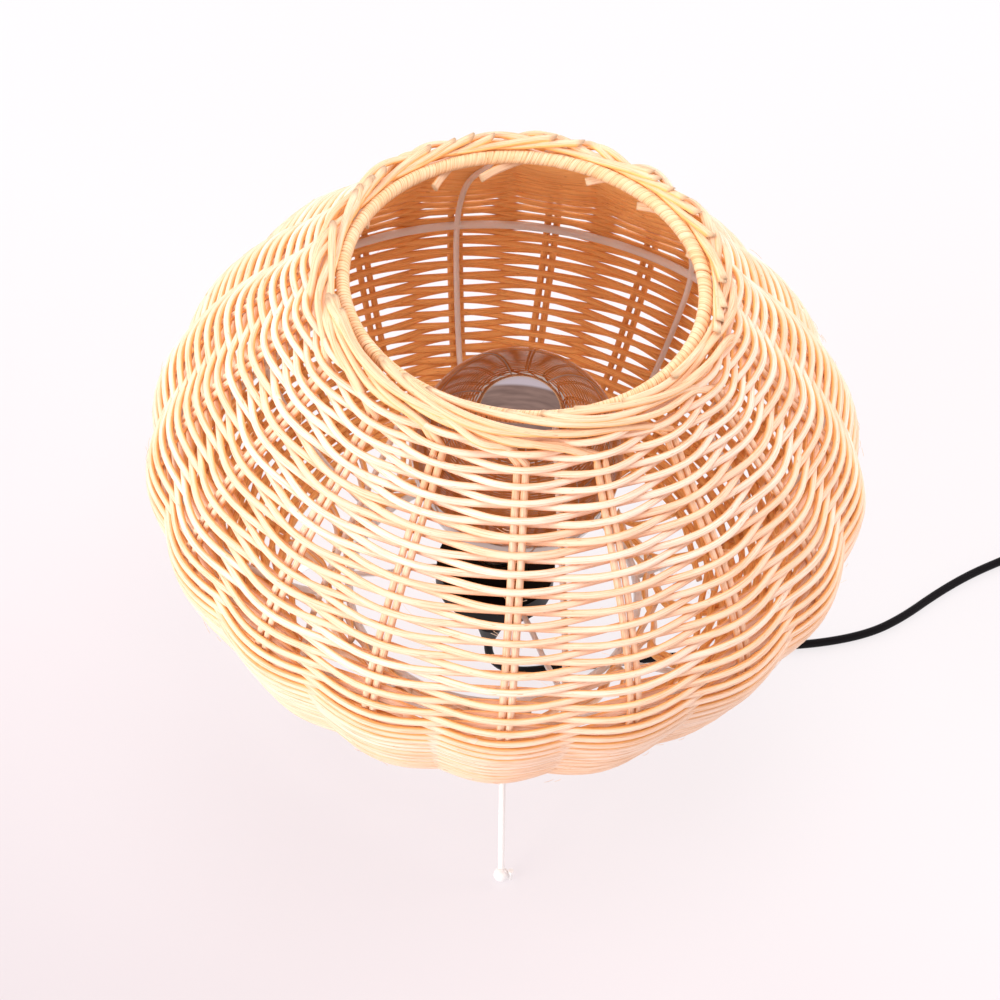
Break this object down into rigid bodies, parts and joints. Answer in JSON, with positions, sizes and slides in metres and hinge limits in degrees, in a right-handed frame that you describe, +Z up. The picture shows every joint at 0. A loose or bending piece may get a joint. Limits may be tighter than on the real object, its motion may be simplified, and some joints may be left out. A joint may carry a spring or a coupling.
{
  "type": "table lamp with shade",
  "caption": "Table lamp with a squat woven rattan shade on a wire frame with splayed ball-foot legs, a globe lamp in a black cup, and a cord with an inline switch and a plug.",
  "frame": {"origin": "on the floor under the axis of the shade", "axes": "+Z up along the shade's axis, -Y to the front, +X to the side the cord leaves on"},
  "size_m": [0.7467, 0.4335, 0.365],
  "materials": {
    "white_wire": "satin white powder coat",
    "rattan": "natural unlacquered rattan core, matt",
    "rattan_peel": "flat rattan peel, slight sheen",
    "black_cup": "satin black paint",
    "black_plastic": "fine matt moulded black",
    "steel": "zinc plated",
    "holder_ceramic": null,
    "brass_contact": "plain brass",
    "nickel_cap": "plain rolled metal",
    "mirrored_glass": "half-mirrored bronze glass, polished",
    "stem_glass": "clear",
    "black_cord": "smooth round black flex",
    "nickel_pins": "nickel plated"
  },
  "bodies": {
    "lamp": {"ring_belly": "white_wire", "ring_foot": "white_wire", "ring_head": "white_wire", "rib_1": "white_wire", "rib_2": "white_wire", "rib_3": "white_wire", "rib_4": "white_wire", "rib_5": "white_wire", "rib_6": "white_wire", "rib_7": "white_wire", "rib_8": "white_wire", "leg_1": "white_wire", "leg_2": "white_wire", "leg_3": "white_wire", "arm_1": "white_wire", "arm_2": "white_wire", "arm_3": "white_wire", "foot_1": "white_wire", "foot_2": "white_wire", "foot_3": "white_wire", "woven_wall": "rattan", "border_foot": "rattan", "border_head": "rattan", "rim_wrap": "rattan_peel", "holder_cup": "black_cup", "cord_grip": "black_plastic", "nipple": "steel", "nipple_nut": "steel", "holder_skirt": "black_plastic", "holder_base": "holder_ceramic", "screw_shell": "brass_contact", "centre_contact": "brass_contact", "cord_run": "black_cord", "cord_link": "black_cord", "cord_tail": "black_cord", "cord_coil": "black_cord", "coil_tie": "black_plastic", "switch_lower": "black_plastic", "switch_upper": "black_plastic", "switch_screw_1": "steel", "switch_screw_2": "steel", "rocker_pin": "steel", "plug_boot": "black_plastic", "plug_body": "black_plastic", "plug_pin_1": "nickel_pins", "plug_pin_2": "nickel_pins"},
    "bulb": {"bulb_globe": "mirrored_glass", "bulb_cap": "nickel_cap", "bulb_insulator": "black_plastic", "bulb_tip": "brass_contact", "bulb_stem": "stem_glass"},
    "rocker": {"switch_rocker": "black_plastic"}
  },
  "joints": [
    {"name": "bulb_lift", "type": "slide", "parent": "lamp", "child": "bulb", "axis": [0, 0, 1], "range_m": [0, 0.3]},
    {"name": "rocker_tilt", "type": "hinge", "parent": "lamp", "child": "rocker", "pos_m": [0.405, 0.17985, 0.0122], "axis": [-0.4305, 0.9026, 0], "range_deg": [0, 18]}
  ]
}
